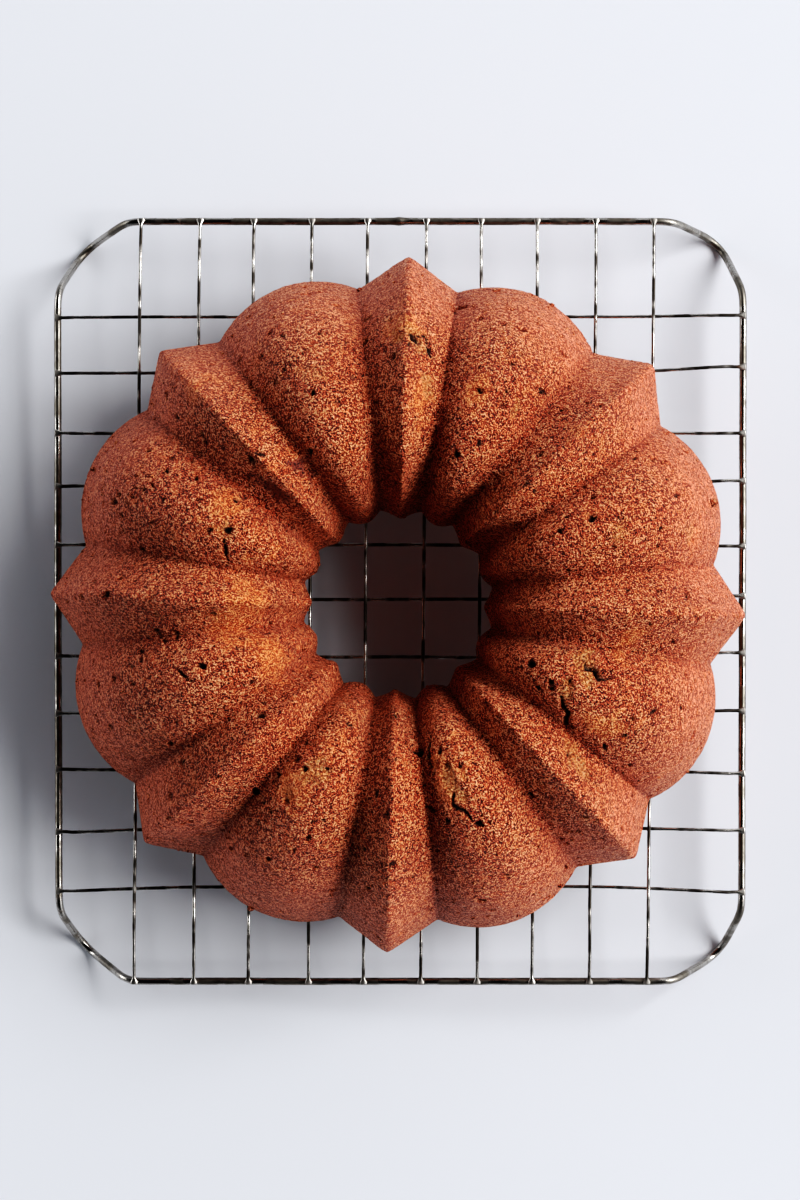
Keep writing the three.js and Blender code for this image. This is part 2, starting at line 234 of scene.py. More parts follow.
BROWNED_TINT = (0.80, 0.58, 0.52, 1)
# Valleys: darker crust there, with painted shade on top of it.
VALLEY_CRUST_AND_SHADE_TINT = (0.50, 0.28, 0.22, 1)
# Painted shade over the walls of the hole.
HOLE_SHADE_TINT = (0.52, 0.34, 0.30, 1)
GLOSS_TINT = (0.20, 0.09, 0.12, 1)
# Painted shade: the near-black colour of the pits and cracks.
PIT_SHADE_COLOUR = (0.026, 0.0032, 0.0009, 1)
SHEEN_TINT = (1.0, 0.70, 0.55, 1)
CRUMB_BUMP = 3.2 * MM

# Rack.
FRAME_MIDDLE_Z = 18.0  # mm from the table up to the middle of the frame's wire
FRAME_SIDES = 20
FRAME_STEP = 1.0  # mm between rings
FRAME_CUTS = 940
FRAME_SMOOTHING = 1.6  # rings
FRAME_WAVE = 0.18  # mm that the frame strays from straight
FRAME_LEVEL = (14 * MM, 17 * MM)  # heights over which the wave sets in
FRAME_UNEVEN = 0.012  # share by which its thickness varies
BUTT_WELD_SWELL = 0.22  # share by which the butt weld is thicker
BUTT_WELD_REACH = 1.3  # mm
FOOT_FLAT_DEPTH = 0.25  # mm worn off the underside of each foot
FOOT_SPAN = (1.6 * MM, 6 * MM)  # heights between which a foot is bent down to the table
THIN_WIRE_R = 0.6
THIN_SIDES = 12
THIN_STEP = 1.5
WIRE_WAVE = 0.14  # mm that a drawn wire strays from straight
END_LENGTH = 2.8  # mm of flattened wire on the frame
END_HALF_WIDTH = 1.35
END_HALF_DEPTH = 0.42
END_DROP = 0.5  # mm that a flattened end is pressed down
END_TIP_SHARE = 0.72  # of its width at the very tip
END_STATIONS = (0.3, 0.7, 1.1, 1.6, 2.2, 3.0, 4.0)  # mm from the tip
END_REACH = 5  # mm from the tip where the ordinary stations begin
WELD_HALF = (0.85, 0.85, 0.55)  # mm
CROSS_LIFT = 0.34  # mm that closes the CAD model's gap under the long wires
FRAME_TARNISH = (0.21, 0.195, 0.170)
FRAME_BARE = (0.44, 0.425, 0.40)
THIN_TARNISH = (0.050, 0.045, 0.040)
THIN_BARE = (0.56, 0.54, 0.51)
STREAK_COLOUR = (0.07, 0.060, 0.050, 1)
RUST_COLOUR = (0.10, 0.042, 0.018, 1)
PALE_END_COLOUR = (0.50, 0.48, 0.45, 1)

NOISE_TABLE = 48
NOISE_OFFSET = 1000.0  # keeps every place in the noise positive


# ---------------------------------------------------------------- helpers

def smooth_share(value, low, high):
    share = np.clip((value - low) / (high - low), 0, 1)
    return share * share * (3 - 2 * share)


def lattice_noise(points, size, seed):
    """Smooth noise from about -1 to 1, whose lumps are about size across."""
    table = np.random.default_rng(seed).uniform(-1, 1, (NOISE_TABLE,) * 3)
    scaled = points / size + NOISE_OFFSET
    base = np.floor(scaled).astype(int)
    part = scaled - base
    part = part * part * (3 - 2 * part)
    total = np.zeros(len(points))
    for corner in itertools.product((0, 1), repeat=3):
        weight = np.prod(np.where(corner, part, 1 - part), axis=1)
        i, j, k = ((base + corner) % NOISE_TABLE).T
        total += weight * table[i, j, k]
    return total


def layered_noise(points, layers):
    return sum(height * lattice_noise(points, size, seed) for height, size, seed in layers)


def mesh_object(name, points, faces, attributes=None):
    """A smooth-shaded mesh in the scene, with a value at each point for each attribute."""
    mesh = bpy.data.meshes.new(name)
    mesh.from_pydata(np.asarray(points).tolist(), [], faces)
    mesh.validate()
    mesh.polygons.foreach_set("use_smooth", [True] * len(mesh.polygons))
    for key, values in (attributes or {}).items():
        attribute = mesh.attributes.new(key, "FLOAT", "POINT")
        attribute.data.foreach_set("value", np.asarray(values, np.float32))
    mesh.update()
    thing = bpy.data.objects.new(name, mesh)
    bpy.context.scene.collection.objects.link(thing)
    return thing


def finish_piece(thing, material, node=None):
    """Gives a piece its material, slot and body, and hides the CAD node it stands for."""
    thing.data.materials.append(material)
    if node:
        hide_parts(node)
    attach(thing, "root")


class Graph:
    """The node tree of a material, built one node at a time."""

    def __init__(self, name):
        self.material = bpy.data.materials.new(name)
        self.material.use_nodes = True
        self.tree = self.material.node_tree
        self.tree.nodes.clear()
        output = self.tree.nodes.new("ShaderNodeOutputMaterial")
        self.shader = self.tree.nodes.new("ShaderNodeBsdfPrincipled")
        self.tree.links.new(self.shader.outputs[0], output.inputs[0])
        self.place = self.tree.nodes.new("ShaderNodeTexCoord").outputs["Object"]

    def put(self, socket, value):
        if isinstance(value, bpy.types.NodeSocket):
            self.tree.links.new(value, socket)
        elif value is not None:
            socket.default_value = value

    def calc(self, operation, a, b=None, c=None, clamp=False):
        node = self.tree.nodes.new("ShaderNodeMath")
        node.operation = operation
        node.use_clamp = clamp
        for socket, value in zip(node.inputs, (a, b, c)):
            self.put(socket, value)
        return node.outputs[0]

    def span(self, value, low, high, to_low=0.0, to_high=1.0):
        node = self.tree.nodes.new("ShaderNodeMapRange")
        node.interpolation_type = "SMOOTHSTEP"
        for socket, given in zip(node.inputs, (value, low, high, to_low, to_high)):
            self.put(socket, given)
        return node.outputs[0]

    def mix(self, factor, a, b, blend="MIX"):
        node = self.tree.nodes.new("ShaderNodeMix")
        node.data_type = "RGBA"
        node.blend_type = blend
        self.put(node.inputs["Factor"], factor)
        self.put(node.inputs[6], a)
        self.put(node.inputs[7], b)
        return node.outputs[2]

    def tint(self, colour, amount, share, tint):
        """A colour multiplied by a tint, as strongly as share times amount."""
        return self.mix(self.calc("MULTIPLY", amount, share), colour, tint, "MULTIPLY")

    def ramp(self, factor, stops):
        node = self.tree.nodes.new("ShaderNodeValToRGB")
        elements = node.color_ramp.elements
        for i, (place, colour) in enumerate(stops):
            element = elements[i] if i < 2 else elements.new(place)
            element.position = place
            element.color = (*colour, 1)
        self.put(node.inputs[0], factor)
        return node.outputs[0]

    def noise(self, scale, detail=2.0, rough=0.5, vector=None):
        node = self.tree.nodes.new("ShaderNodeTexNoise")
        self.put(node.inputs["Vector"], vector or self.place)
        self.put(node.inputs["Scale"], scale)
        self.put(node.inputs["Detail"], detail)
        self.put(node.inputs["Roughness"], rough)
        return node.outputs["Fac"]

    def cells(self, scale, vector):
        node = self.tree.nodes.new("ShaderNodeTexVoronoi")
        self.put(node.inputs["Vector"], vector)
        self.put(node.inputs["Scale"], scale)
        return node.outputs["Distance"]

    def stretched(self, scale):
        node = self.tree.nodes.new("ShaderNodeMapping")
        self.put(node.inputs["Vector"], self.place)
        self.put(node.inputs["Scale"], scale)
        return node.outputs[0]

    def warped(self, scale, amount):
        """The place, moved about by a noise, so that cells look irregular."""
        node = self.tree.nodes.new("ShaderNodeTexNoise")
        self.put(node.inputs["Vector"], self.place)
        self.put(node.inputs["Scale"], scale)
        self.put(node.inputs["Detail"], 1.0)
        shift = self.tree.nodes.new("ShaderNodeVectorMath")
        shift.operation = "MULTIPLY_ADD"
        self.put(shift.inputs[0], node.outputs["Color"])
        self.put(shift.inputs[1], (amount,) * 3)
        self.put(shift.inputs[2], self.place)
        return shift.outputs[0]

    def attribute(self, name):
        node = self.tree.nodes.new("ShaderNodeAttribute")
        node.attribute_name = name
        return node.outputs["Fac"]

    def bump(self, height, distance, strength):
        node = self.tree.nodes.new("ShaderNodeBump")
        self.put(node.inputs["Strength"], strength)
        self.put(node.inputs["Distance"], distance)
        self.put(node.inputs["Height"], height)
        return node.outputs[0]

    def finish(self, **sockets):
        for name, value in sockets.items():
            self.put(self.shader.inputs[name.replace("_", " ")], value)
        return self.material


# ---------------------------------------------------------------- stage

def make_camera():
    low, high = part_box("frame_wire")
    data = bpy.data.cameras.new("camera")
    data.lens = CAMERA_LENS
    data.sensor_width = CAMERA_SENSOR
    data.clip_start, data.clip_end = CAMERA_CLIP
    camera = bpy.data.objects.new("camera", data)
    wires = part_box("cross_wire_01")[0].z + THIN_WIRE_R * MM
    camera.location = (
        (low.x + high.x) / 2 + CAMERA_SHIFT_X,
        (low.y + high.y) / 2 + CAMERA_SHIFT_Y,
        wires + CAMERA_HEIGHT,
    )
    bpy.context.scene.collection.objects.link(camera)
    bpy.context.scene.camera = camera


def area_light(name, azimuth, elevation, distance, width, height, power, colour):
    """A soft rectangle of light, aimed at the middle of the cake."""
    data = bpy.data.lights.new(name, "AREA")
    data.shape = "RECTANGLE"
    data.size = width
    data.size_y = height
    data.energy = power
    data.color = colour
    light = bpy.data.objects.new(name, data)
    a, e = math.radians(azimuth), math.radians(elevation)
    away = Vector((math.cos(a) * math.cos(e), math.sin(a) * math.cos(e), math.sin(e)))
    light.location = away * distance + Vector((0, 0, LIGHT_AIM_Z))
    light.rotation_euler = away.to_track_quat("Z", "Y").to_euler()
    bpy.context.scene.collection.objects.link(light)


def make_world():
    """A dim room with a broad soft glow, low on the window's side."""
    world = bpy.data.worlds.new("studio")
    world.use_nodes = True
    tree = world.node_tree
    background = tree.nodes["Background"]
    background.inputs["Strength"].default_value = 1.0
    direction = tree.nodes.new("ShaderNodeTexCoord").outputs["Generated"]

    def fade(value, low, high):
        node = tree.nodes.new("ShaderNodeMapRange")
        node.interpolation_type = "SMOOTHSTEP"
        tree.links.new(value, node.inputs[0])
        for socket, given in zip(node.inputs[1:5], (low, high, 0, 1)):
            socket.default_value = given
        return node.outputs[0]

    side = tree.nodes.new("ShaderNodeVectorMath")
    side.operation = "DOT_PRODUCT"
    tree.links.new(direction, side.inputs[0])
    a = math.radians(GLOW_AZIMUTH)
    side.inputs[1].default_value = (math.cos(a), math.sin(a), 0)
    parts = tree.nodes.new("ShaderNodeSeparateXYZ")
    tree.links.new(direction, parts.inputs[0])
    glow = tree.nodes.new("ShaderNodeMath")
    glow.operation = "MULTIPLY"
    tree.links.new(fade(side.outputs["Value"], *GLOW_SIDE), glow.inputs[0])
    tree.links.new(fade(parts.outputs["Z"], *GLOW_TOP), glow.inputs[1])
    walls = fade(parts.outputs["Z"], *ROOM_TOP)
    room = None
    for factor, colour in ((walls, ROOM_AROUND), (glow.outputs[0], GLOW)):
        mix = tree.nodes.new("ShaderNodeMix")
        mix.data_type = "RGBA"
        tree.links.new(factor, mix.inputs["Factor"])
        mix.inputs[6].default_value = (*ROOM_OVERHEAD, 1)
        if room:
            tree.links.new(room, mix.inputs[6])
        mix.inputs[7].default_value = (*colour, 1)
        room = mix.outputs[2]
    tree.links.new(room, background.inputs["Color"])
    bpy.context.scene.world = world


def make_light():
    area_light("window", *WINDOW)
    area_light("reflector", *REFLECTOR)
    make_world()


def set_contrast():
    """The photograph's contrast: deep shadows, the rest nearly as it is."""
    view = bpy.context.scene.view_settings
    view.view_transform = "Standard"
    view.look = "None"
    view.use_curve_mapping = True
    points = view.curve_mapping.curves[3].points
    for place, value in CONTRAST:
        points.new(place, value)
    view.curve_mapping.update()


def make_floor():
    turns = ((-1, -1), (1, -1), (1, 1), (-1, 1))
    corners = [(x * FLOOR_HALF, y * FLOOR_HALF, 0) for x, y in turns]
    floor = mesh_object("floor", corners, [(0, 1, 2, 3)])
    graph = Graph("pale_floor")
    floor.data.materials.append(graph.finish(
        Base_Color=FLOOR_COLOUR, Roughness=0.75, Specular_IOR_Level=0.2))


# ---------------------------------------------------------------- cake

def angle_from_ridge(angle):
    period = 2 * math.pi / FLUTES
    return np.abs(np.mod(angle + period / 2, period) - period / 2)


def outline_radius(angle):
    """Outline radius of the underside: straight in plan on a ridge, round on a lobe."""
    offset = angle_from_ridge(angle)
    valley = math.radians(RIDGE_HALF_ANGLE_DEG)
    foot_x = VALLEY_R * math.cos(valley)
    foot_y = VALLEY_R * math.sin(valley)
    across = foot_y * np.cos(offset) + (RIDGE_TIP_R - foot_x) * np.sin(offset)
    on_ridge = RIDGE_TIP_R * foot_y / across
    from_lobe = math.pi / FLUTES - offset
    side = LOBE_ARC_MID_R * np.sin(from_lobe)
    on_lobe = LOBE_ARC_MID_R * np.cos(from_lobe)
    on_lobe = on_lobe + np.sqrt(np.maximum(LOBE_ARC_R ** 2 - side ** 2, 0))
    return np.where(offset < valley, on_ridge, on_lobe)


def spread_angle(angle, inward):
    """Moves an angle away from its ridge's crest: ridges widen towards the hole."""
    outer = math.radians(RIDGE_HALF_ANGLE_DEG)
    inner = outer + math.radians(RIDGE_SPREAD_DEG) * inward ** 2
    half = math.pi / FLUTES
    offset = angle_from_ridge(angle)
    spread = np.where(
        offset < outer,
        offset * inner / outer,
        inner + (offset - outer) * (half - inner) / (half - outer),
    )
    ridge = np.round(angle / (2 * half)) * 2 * half
    return ridge + np.sign(angle - ridge) * spread


def blurred(ring, width):
    """A ring of values, blurred round the circle. width is in samples."""
    waves = np.arange(len(ring) // 2 + 1) / len(ring)
    return np.fft.irfft(np.fft.rfft(ring) * np.exp(-2 * (math.pi * width * waves) ** 2), len(ring))


def section_rows():
    """Rows over the section: radius, height, normal and share of the way inwards."""
    points = np.array(SECTION, float)
    ends = np.vstack([2 * points[0] - points[1], points, 2 * points[-1] - points[-2]])
    fine = np.linspace(0, len(points) - 1, SECTION_SAMPLES)
    i = np.minimum(fine.astype(int), len(points) - 2)
    t = (fine - i)[:, None]
    p0, p1, p2, p3 = (ends[i + k] for k in range(4))
    curve = 0.5 * (2 * p1 + (p2 - p0) * t + (2 * p0 - 5 * p1 + 4 * p2 - p3) * t ** 2
                   + (3 * p1 - p0 - 3 * p2 + p3) * t ** 3)
    slope = np.gradient(curve, axis=0)
    normal = np.stack([slope[:, 1], -slope[:, 0]], 1)
    normal /= np.linalg.norm(normal, axis=1)[:, None]
    normal[:, 1] *= smooth_share(curve[:, 1], 0, FLUTE_RISE_RUN)
    normal /= np.linalg.norm(normal, axis=1)[:, None]
    length = np.concatenate([[0], np.cumsum(np.linalg.norm(np.diff(curve, axis=0), axis=1))])
    split = length[np.argmin(np.abs(curve[:SECTION_SAMPLES // 2, 0] - SPLIT_R))]
    outer = np.linspace(0, split, int(split / OUTER_STEP))
    inner = np.linspace(split, length[-1], int((length[-1] - split) / INNER_STEP))
    rows = []
    for place in (outer, inner[1:]):
        columns = [curve[:, 0], curve[:, 1], normal[:, 0], normal[:, 1], fine / (len(points) - 1)]
        rows.append(np.stack([np.interp(place, length, c) for c in columns], 1))
    return rows


def grid_block(rows, count):
    """Points of one block of the cake's surface, and what kind of place each is.

    The kinds are valley, flank, inside of the hole and crest, each from 0 to 1.
    """
    angle = np.arange(count) / count * 2 * math.pi
    outline = outline_radius(angle) / VALLEY_R - 1
    offset = angle_from_ridge(angle)
    edge = math.radians(RIDGE_HALF_ANGLE_DEG)
    hollow = 1 - outline / np.where(offset < edge, RIDGE_SHARE, LOBE_SHARE)
    points, kinds = [], []
    for r, z, nr, nz, inward in rows:
        per_mm = count / (2 * math.pi * r)
        relief = r * outline - np.interp(inward, *zip(*VALLEY_CUT)) * hollow
        crest = blurred(relief, CREST_BLUR * per_mm)
        deep = blurred(relief, VALLEY_BLUR * per_mm)
        near_crest = 1 - smooth_share(offset, *CREST_SPAN)
        proud = crest * near_crest + deep * (1 - near_crest)
        turned = spread_angle(angle, inward)
        radius = r + nr * proud
        height = z + nz * proud
        points.append(np.stack([radius * np.cos(turned), radius * np.sin(turned), height], 1))
        from_valley = (offset - edge) * r
        reach = np.where(from_valley > 0, LOBE_VALLEY_REACH, RIDGE_VALLEY_REACH)
        kinds.append(np.stack([
            np.exp(-(from_valley / reach) ** 2),
            np.full(count, smooth_share(nr, *FLANK_SLOPE)),
            np.full(count, smooth_share(inward, *INSIDE_SHARE)),
            1 - smooth_share(offset * r, *CREST_REACH),
        ], 1))
    return np.array(points), np.array(kinds)


def stitch(rows, count, start, faces):
    """Quads between rows of count points each, the first of them at index start."""
    k = np.arange(count)
    after = (k + 1) % count
    for row in range(rows - 1):
        a = start + row * count
        b = a + count
        faces.append(np.stack([a + k, a + after, b + after, b + k], 1))


def cake_surface():
    """The cake's bare surface in mm about its own axis, before marks and crumb."""
    half = OUTER_ANGLES // 2
    outer_rows, inner_rows = section_rows()
    outer, outer_kinds = grid_block(outer_rows, OUTER_ANGLES)
    inner, inner_kinds = grid_block(inner_rows, half)
    points = np.concatenate([outer.reshape(-1, 3), inner.reshape(-1, 3)])
    kinds = np.concatenate([outer_kinds.reshape(-1, 4), inner_kinds.reshape(-1, 4)])
    quads, others = [], []
    stitch(len(outer), OUTER_ANGLES, 0, quads)
    first_inner = outer.shape[0] * OUTER_ANGLES
    stitch(len(inner), half, first_inner, quads)
    last_outer = first_inner - OUTER_ANGLES
    for k in range(half):
        a = last_outer + 2 * k
        b = last_outer + (2 * k + 1)
        c = last_outer + (2 * k + 2) % OUTER_ANGLES
        others.append((a, b, c, first_inner + (k + 1) % half, first_inner + k))
    return points, kinds, quads, others, (0, first_inner + (len(inner) - 1) * half)


def surface_normals(points, quads):
    total = np.zeros_like(points)
    faces = np.concatenate(quads)
    across = points[faces[:, 2]] - points[faces[:, 0]]
    along = points[faces[:, 3]] - points[faces[:, 1]]
    normal = np.cross(across, along)
    for corner in range(4):
        np.add.at(total, faces[:, corner], normal)
    return total / np.maximum(np.linalg.norm(total, axis=1), 1e-9)[:, None]


class Crust:
    """The cake's surface while marks are pressed into it."""

    def __init__(self, points, normals):
        self.start = points.copy()
        self.points = points
        self.normals = normals
        # How strongly shade is painted into each pit and crack.
        self.pit_shade = np.zeros(len(points))
        self.torn = np.zeros(len(points))
        self.gloss = np.zeros(len(points))
        self.gold = np.zeros(len(points))

    def spot(self, direction, distance):
        """The point of the upper surface at a place seen from above."""
        a = math.radians(direction)
        goal = np.array([distance * math.cos(a), distance * math.sin(a)])
        off = np.linalg.norm(self.start[:, :2] - goal, axis=1)
        off = off + np.where(self.normals[:, 2] < 0.02, 50, 0)
        return int(np.argmin(off))

    def around(self, index, stretch, slant, reach):
        """Nearby points, and how far each is from the mark's middle."""
        near = np.flatnonzero(np.linalg.norm(self.start - self.start[index], axis=1) < reach)
        normal = self.normals[index]
        outward = self.start[index] * (1, 1, 0)
        side = np.cross(normal, outward)
        side /= np.linalg.norm(side)
        run = np.cross(side, normal)
        a = math.radians(slant)
        long_way = run * math.cos(a) + side * math.sin(a)
        short_way = np.cross(normal, long_way)
        offset = self.start[near] - self.start[index]
        return near, np.hypot(offset @ long_way / stretch, offset @ short_way)

    def press(self, near, depth):
        self.points[near] -= self.normals[near] * depth[:, None]

    def add_pit(self, index, width, stretch, slant, depth, seed, dark=1.0):
        near, away = self.around(index, stretch, slant, width * stretch * 1.6)
        if not len(near):
            return
        ragged = 1 + 0.45 * lattice_noise(self.start[near], 0.45 * width, seed)
        ragged += 0.25 * lattice_noise(self.start[near], 0.8, seed + 1)
        share = away * ragged / (width / 2)
        bowl = 1 - smooth_share(share, 0.35, 1.15)
        rim = np.exp(-((share - 1.35) / 0.3) ** 2)
        self.press(near, depth * bowl - 0.10 * rim)
        # Painted shade in the pit, strongest in its middle.
        self.pit_shade[near] = np.maximum(self.pit_shade[near], dark * (1 - smooth_share(share, 0.55, 1.2)))

    def add_crack(self, width, depth, places):
        corners = [self.start[self.spot(*place)] for place in places]
        away = np.full(len(self.start), 99.0)
        place = np.zeros(len(self.start))
        for i, (a, b) in enumerate(zip(corners, corners[1:])):
            along = np.clip((self.start - a) @ (b - a) / ((b - a) @ (b - a)), 0, 1)
            off = np.linalg.norm(self.start - a - along[:, None] * (b - a), axis=1)
            place = np.where(off < away, (i + along) / (len(corners) - 1), place)
            away = np.minimum(away, off)
        near = np.flatnonzero(away < width * 2.5)
        taper = 0.12 + np.sin(math.pi * place[near]) ** 0.7
        ragged = 1.0 + 0.75 * lattice_noise(self.start[near], 1.3, 71)
        share = away[near] * np.maximum(ragged, 0.4) / (width / 2 * taper)
        self.press(near, depth * (1 - smooth_share(share, 0.2, 1.3)))
        # Painted shade along the crack.
        self.pit_shade[near] = np.maximum(self.pit_shade[near], 1 - smooth_share(share, 0.4, 1.2))

    def patch(self, direction, distance, width, stretch, slant):
        """Points of a ragged patch, and how far each belongs to it."""
        index = self.spot(direction, distance)
        near, away = self.around(index, stretch, slant, width * stretch)
        ragged = 1 + 0.5 * lattice_noise(self.start[near], 3.2, 81)
        ragged += 0.35 * lattice_noise(self.start[near], 1.2, 82)
        return near, 1 - smooth_share(away * ragged / (width / 2), 0.6, 1.15)


def mark_crust(crust):
    for direction, distance, width, stretch, slant, pale in TORN_PATCHES:
        near, share = crust.patch(direction, distance, width, stretch, slant)
        lumps = 0.5 + 0.5 * lattice_noise(crust.start[near], 1.1, 83)
        crust.press(near, share * pale * (0.35 + 0.75 * lumps))
        crust.torn[near] = np.maximum(crust.torn[near], share * pale)
    for place in GOLDEN_PATCHES:
        near, share = crust.patch(*place)
        crust.gold[near] = np.maximum(crust.gold[near], share)
    for place in GLOSSY_PATCHES:
        near, share = crust.patch(*place)
        crust.gloss[near] = np.maximum(crust.gloss[near], share)
    for i, (direction, distance, width, stretch, slant) in enumerate(PITS):
        index = crust.spot(direction, distance)
        crust.add_pit(index, width, stretch, slant, PIT_DEPTH * width, i)
    for crack in CRACKS:
        crust.add_crack(*crack)
    draw = np.random.default_rng(5)
    upper = np.flatnonzero(crust.normals[:, 2] > -0.2)
    spots = draw.choice(upper, RANDOM_PITS, replace=False)
    for i, index in enumerate(spots):
        width = RANDOM_PIT_WIDTH[0] + RANDOM_PIT_WIDTH[1] * draw.random() ** 2
        stretch = 1 + draw.random()
        dark = RANDOM_PIT_SHADE[0] + RANDOM_PIT_SHADE[1] * draw.random()
        slant = 180 * draw.random()
        crust.add_pit(index, width, stretch, slant, RANDOM_PIT_DEPTH * width, 200 + i, dark)


def settle(points, normals, kinds):
    """Uneven lobes, rounded lower edges and the crumb's own grain."""
    flank, crest = kinds[:, 1], kinds[:, 3]
    grain = layered_noise(points, CRUMB_GRAIN)
    rise = layered_noise(points, LOBE_LUMPS) + grain * (1 - FLANK_SMOOTHING * flank)
    rise += crest * (layered_noise(points, CREST_GRAIN) - CREST_WEAR)
    rise *= smooth_share(points[:, 2], *EVEN_BASE)
    moved = points + normals * rise[:, None]
    inwards = EDGE_ROUND * (1 - smooth_share(points[:, 2], *EDGE_SPAN)) ** 2
    ragged = 1 + 0.6 * lattice_noise(points, 3.0, 15)
    flat = normals * (1, 1, 0)
    flat /= np.maximum(np.linalg.norm(flat, axis=1), 1e-6)[:, None]
    return moved - flat * (inwards * ragged)[:, None]


def add_underside(points, quads, rings):
    """The flat cut underside, in rings from the outer edge to the hole."""
    outer_start, inner_start = rings
    half = OUTER_ANGLES // 2
    outer = points[outer_start:outer_start + OUTER_ANGLES]
    inner = points[inner_start:inner_start + half]
    count = len(points)
    rows, links = [], []
    for share in np.linspace(0, 1, UNDERSIDE_STEPS + 1)[1:-1]:
        row = outer[::2] * (1 - share) + inner * share
        row[:, 2] += layered_noise(row, UNDERSIDE_GRAIN) + UNDERSIDE_RISE
        rows.append(row)
    block = np.concatenate(rows)
    stitch_faces = []
    stitch(len(rows), half, count, stitch_faces)
    quads.extend(face[:, ::-1] for face in stitch_faces)
    for k in range(half):
        a, b, c = 2 * k, 2 * k + 1, (2 * k + 2) % OUTER_ANGLES
        d, e = count + (k + 1) % half, count + k
        links.append((e, d, outer_start + c, outer_start + b, outer_start + a))
        f = count + (len(rows) - 1) * half + k
        g = count + (len(rows) - 1) * half + (k + 1) % half
        links.append((f, inner_start + k, inner_start + (k + 1) % half, g))
    return np.concatenate([points, block]), links


def crust_grain(g):
    """Height of the fine crumb, about 0.5: crumbs between dark gaps, at four sizes."""
    crumbs = g.noise(1650, 1.5, 0.60, g.warped(900, 0.0004))
    fine = g.noise(2500, 1, 0.5)
    cell = g.cells(1350, g.warped(1300, 0.0006))
    broad = g.noise(640, 1.5, 0.5)
    grain = g.calc("MULTIPLY_ADD", crumbs, 0.58, g.calc("MULTIPLY", fine, 0.20))
    grain = g.calc("MULTIPLY_ADD", broad, 0.22, grain)
    return g.calc("MULTIPLY_ADD", cell, -0.10, g.calc("ADD", grain, 0.048))


def crust_colour(g, grain):
    """Browned crust, with golden, torn and glossy patches, and painted shade: darker valleys
    (partly darker crust too), a darker hole, and black pits and cracks.
    """
    colour = g.ramp(grain, CRUST_STOPS)
    browned = g.span(g.noise(38, 3, 0.55), 0.40, 0.64)
    colour = g.tint(colour, browned, 0.5, BROWNED_TINT)
    spots = g.span(g.noise(150, 2, 0.5), 0.54, 0.70)
    spots = g.calc("MULTIPLY", spots, 0.3)
    golden = g.calc("MULTIPLY_ADD", g.attribute("gold"), 0.75, spots, clamp=True)
    colour = g.mix(golden, colour, g.ramp(grain, GOLDEN_STOPS))
    flank = g.calc("MULTIPLY", g.attribute("flank"), 0.75)
    colour = g.mix(flank, colour, g.ramp(grain, FLANK_STOPS))
    # Darker in the valleys: partly darker crust, partly painted shade.
    colour = g.tint(colour, g.attribute("valley"), 0.4, VALLEY_CRUST_AND_SHADE_TINT)
    # Painted shade: the walls of the hole a little darker.
    colour = g.tint(colour, g.attribute("inside"), 0.15, HOLE_SHADE_TINT)
    torn = g.span(g.attribute("torn"), 0.1, 1.0, 0.0, 0.75)
    colour = g.mix(torn, colour, g.ramp(g.noise(1150, 2, 0.60), TORN_STOPS))
    colour = g.tint(colour, g.attribute("gloss"), 0.9, GLOSS_TINT)
    # Painted shade: pits and cracks turn near black.
    return g.mix(g.span(g.attribute("pit_shade"), 0.15, 0.95), colour, PIT_SHADE_COLOUR)


def crust_material():
    """Crumb that is duller in its gaps, and smoother on flanks, in the hole and where glossy."""
    g = Graph("baked_crust")
    gloss = g.attribute("gloss")
    grain = crust_grain(g)
    colour = crust_colour(g, grain)
    rough = g.span(grain, 0.44, 0.58, 0.62, 0.33)
    rough = g.calc("MULTIPLY_ADD", gloss, -0.12, rough)
    bumpy = g.calc("MULTIPLY_ADD", g.attribute("flank"), -0.30, 1.0)
    bumpy = g.calc("MULTIPLY_ADD", gloss, -0.45, bumpy)
    bumpy = g.calc("MULTIPLY_ADD", g.attribute("inside"), -0.35, bumpy)
    normal = g.bump(grain, CRUMB_BUMP, bumpy)
    return g.finish(Base_Color=colour, Roughness=rough, Normal=normal,
                    Specular_IOR_Level=0.5, Sheen_Weight=0.06, Sheen_Roughness=0.45,
                    Sheen_Tint=SHEEN_TINT)


def make_cake():
    low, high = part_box("ring_cake")
    points, kinds, quads, others, rings = cake_surface()
    normals = surface_normals(points, quads)
    points = settle(points, normals, kinds)
    normals = surface_normals(points, quads)
    crust = Crust(points, normals)
    turn = math.radians(TURN_DEG)
    cosine, sine = math.cos(turn), math.sin(turn)
    spin = np.array([[cosine, sine, 0], [-sine, cosine, 0], [0, 0, 1]])
    crust.start = crust.start @ spin
    crust.points = crust.points @ spin
    crust.normals = crust.normals @ spin
    mark_crust(crust)
    points, links = add_underside(crust.points, quads, rings)
    size = (high.x - low.x) / DRAWN_WIDTH
    middle = np.array([(low.x + high.x) / 2, (low.y + high.y) / 2, low.z - SINK * MM])
    points = points * size + middle
    underside = np.zeros(len(points) - len(crust.pit_shade))
    values = {"pit_shade": crust.pit_shade, "gloss": crust.gloss, "gold": crust.gold,
              "valley": kinds[:, 0], "flank": kinds[:, 1], "inside": kinds[:, 2]}
    attributes = {key: np.append(value, underside) for key, value in values.items()}
    attributes["torn"] = np.append(crust.torn, underside + 0.5)
    faces = np.concatenate(quads).tolist() + others + links
    cake = mesh_object("ring_cake_crust", points, faces, attributes)
    finish_piece(cake, crust_material(), "ring_cake")
    return cake


# ---------------------------------------------------------------- rack

def node_arrays(node):
    """Vertices and edges of a CAD node's mesh."""
    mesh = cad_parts[node].data
    points = np.array([v.co for v in mesh.vertices], float)
    return points, np.array([e.vertices[:] for e in mesh.edges])


def cut_points(co, edges, normal, offset):
    """Where a plane crosses the edges of a mesh."""
    side = co @ normal - offset
    a, b = side[edges[:, 0]], side[edges[:, 1]]
    crossing = a * b < 0
    share = (a / (a - b + 1e-12))[crossing][:, None]
    return co[edges[crossing, 0]] * (1 - share) + co[edges[crossing, 1]] * share


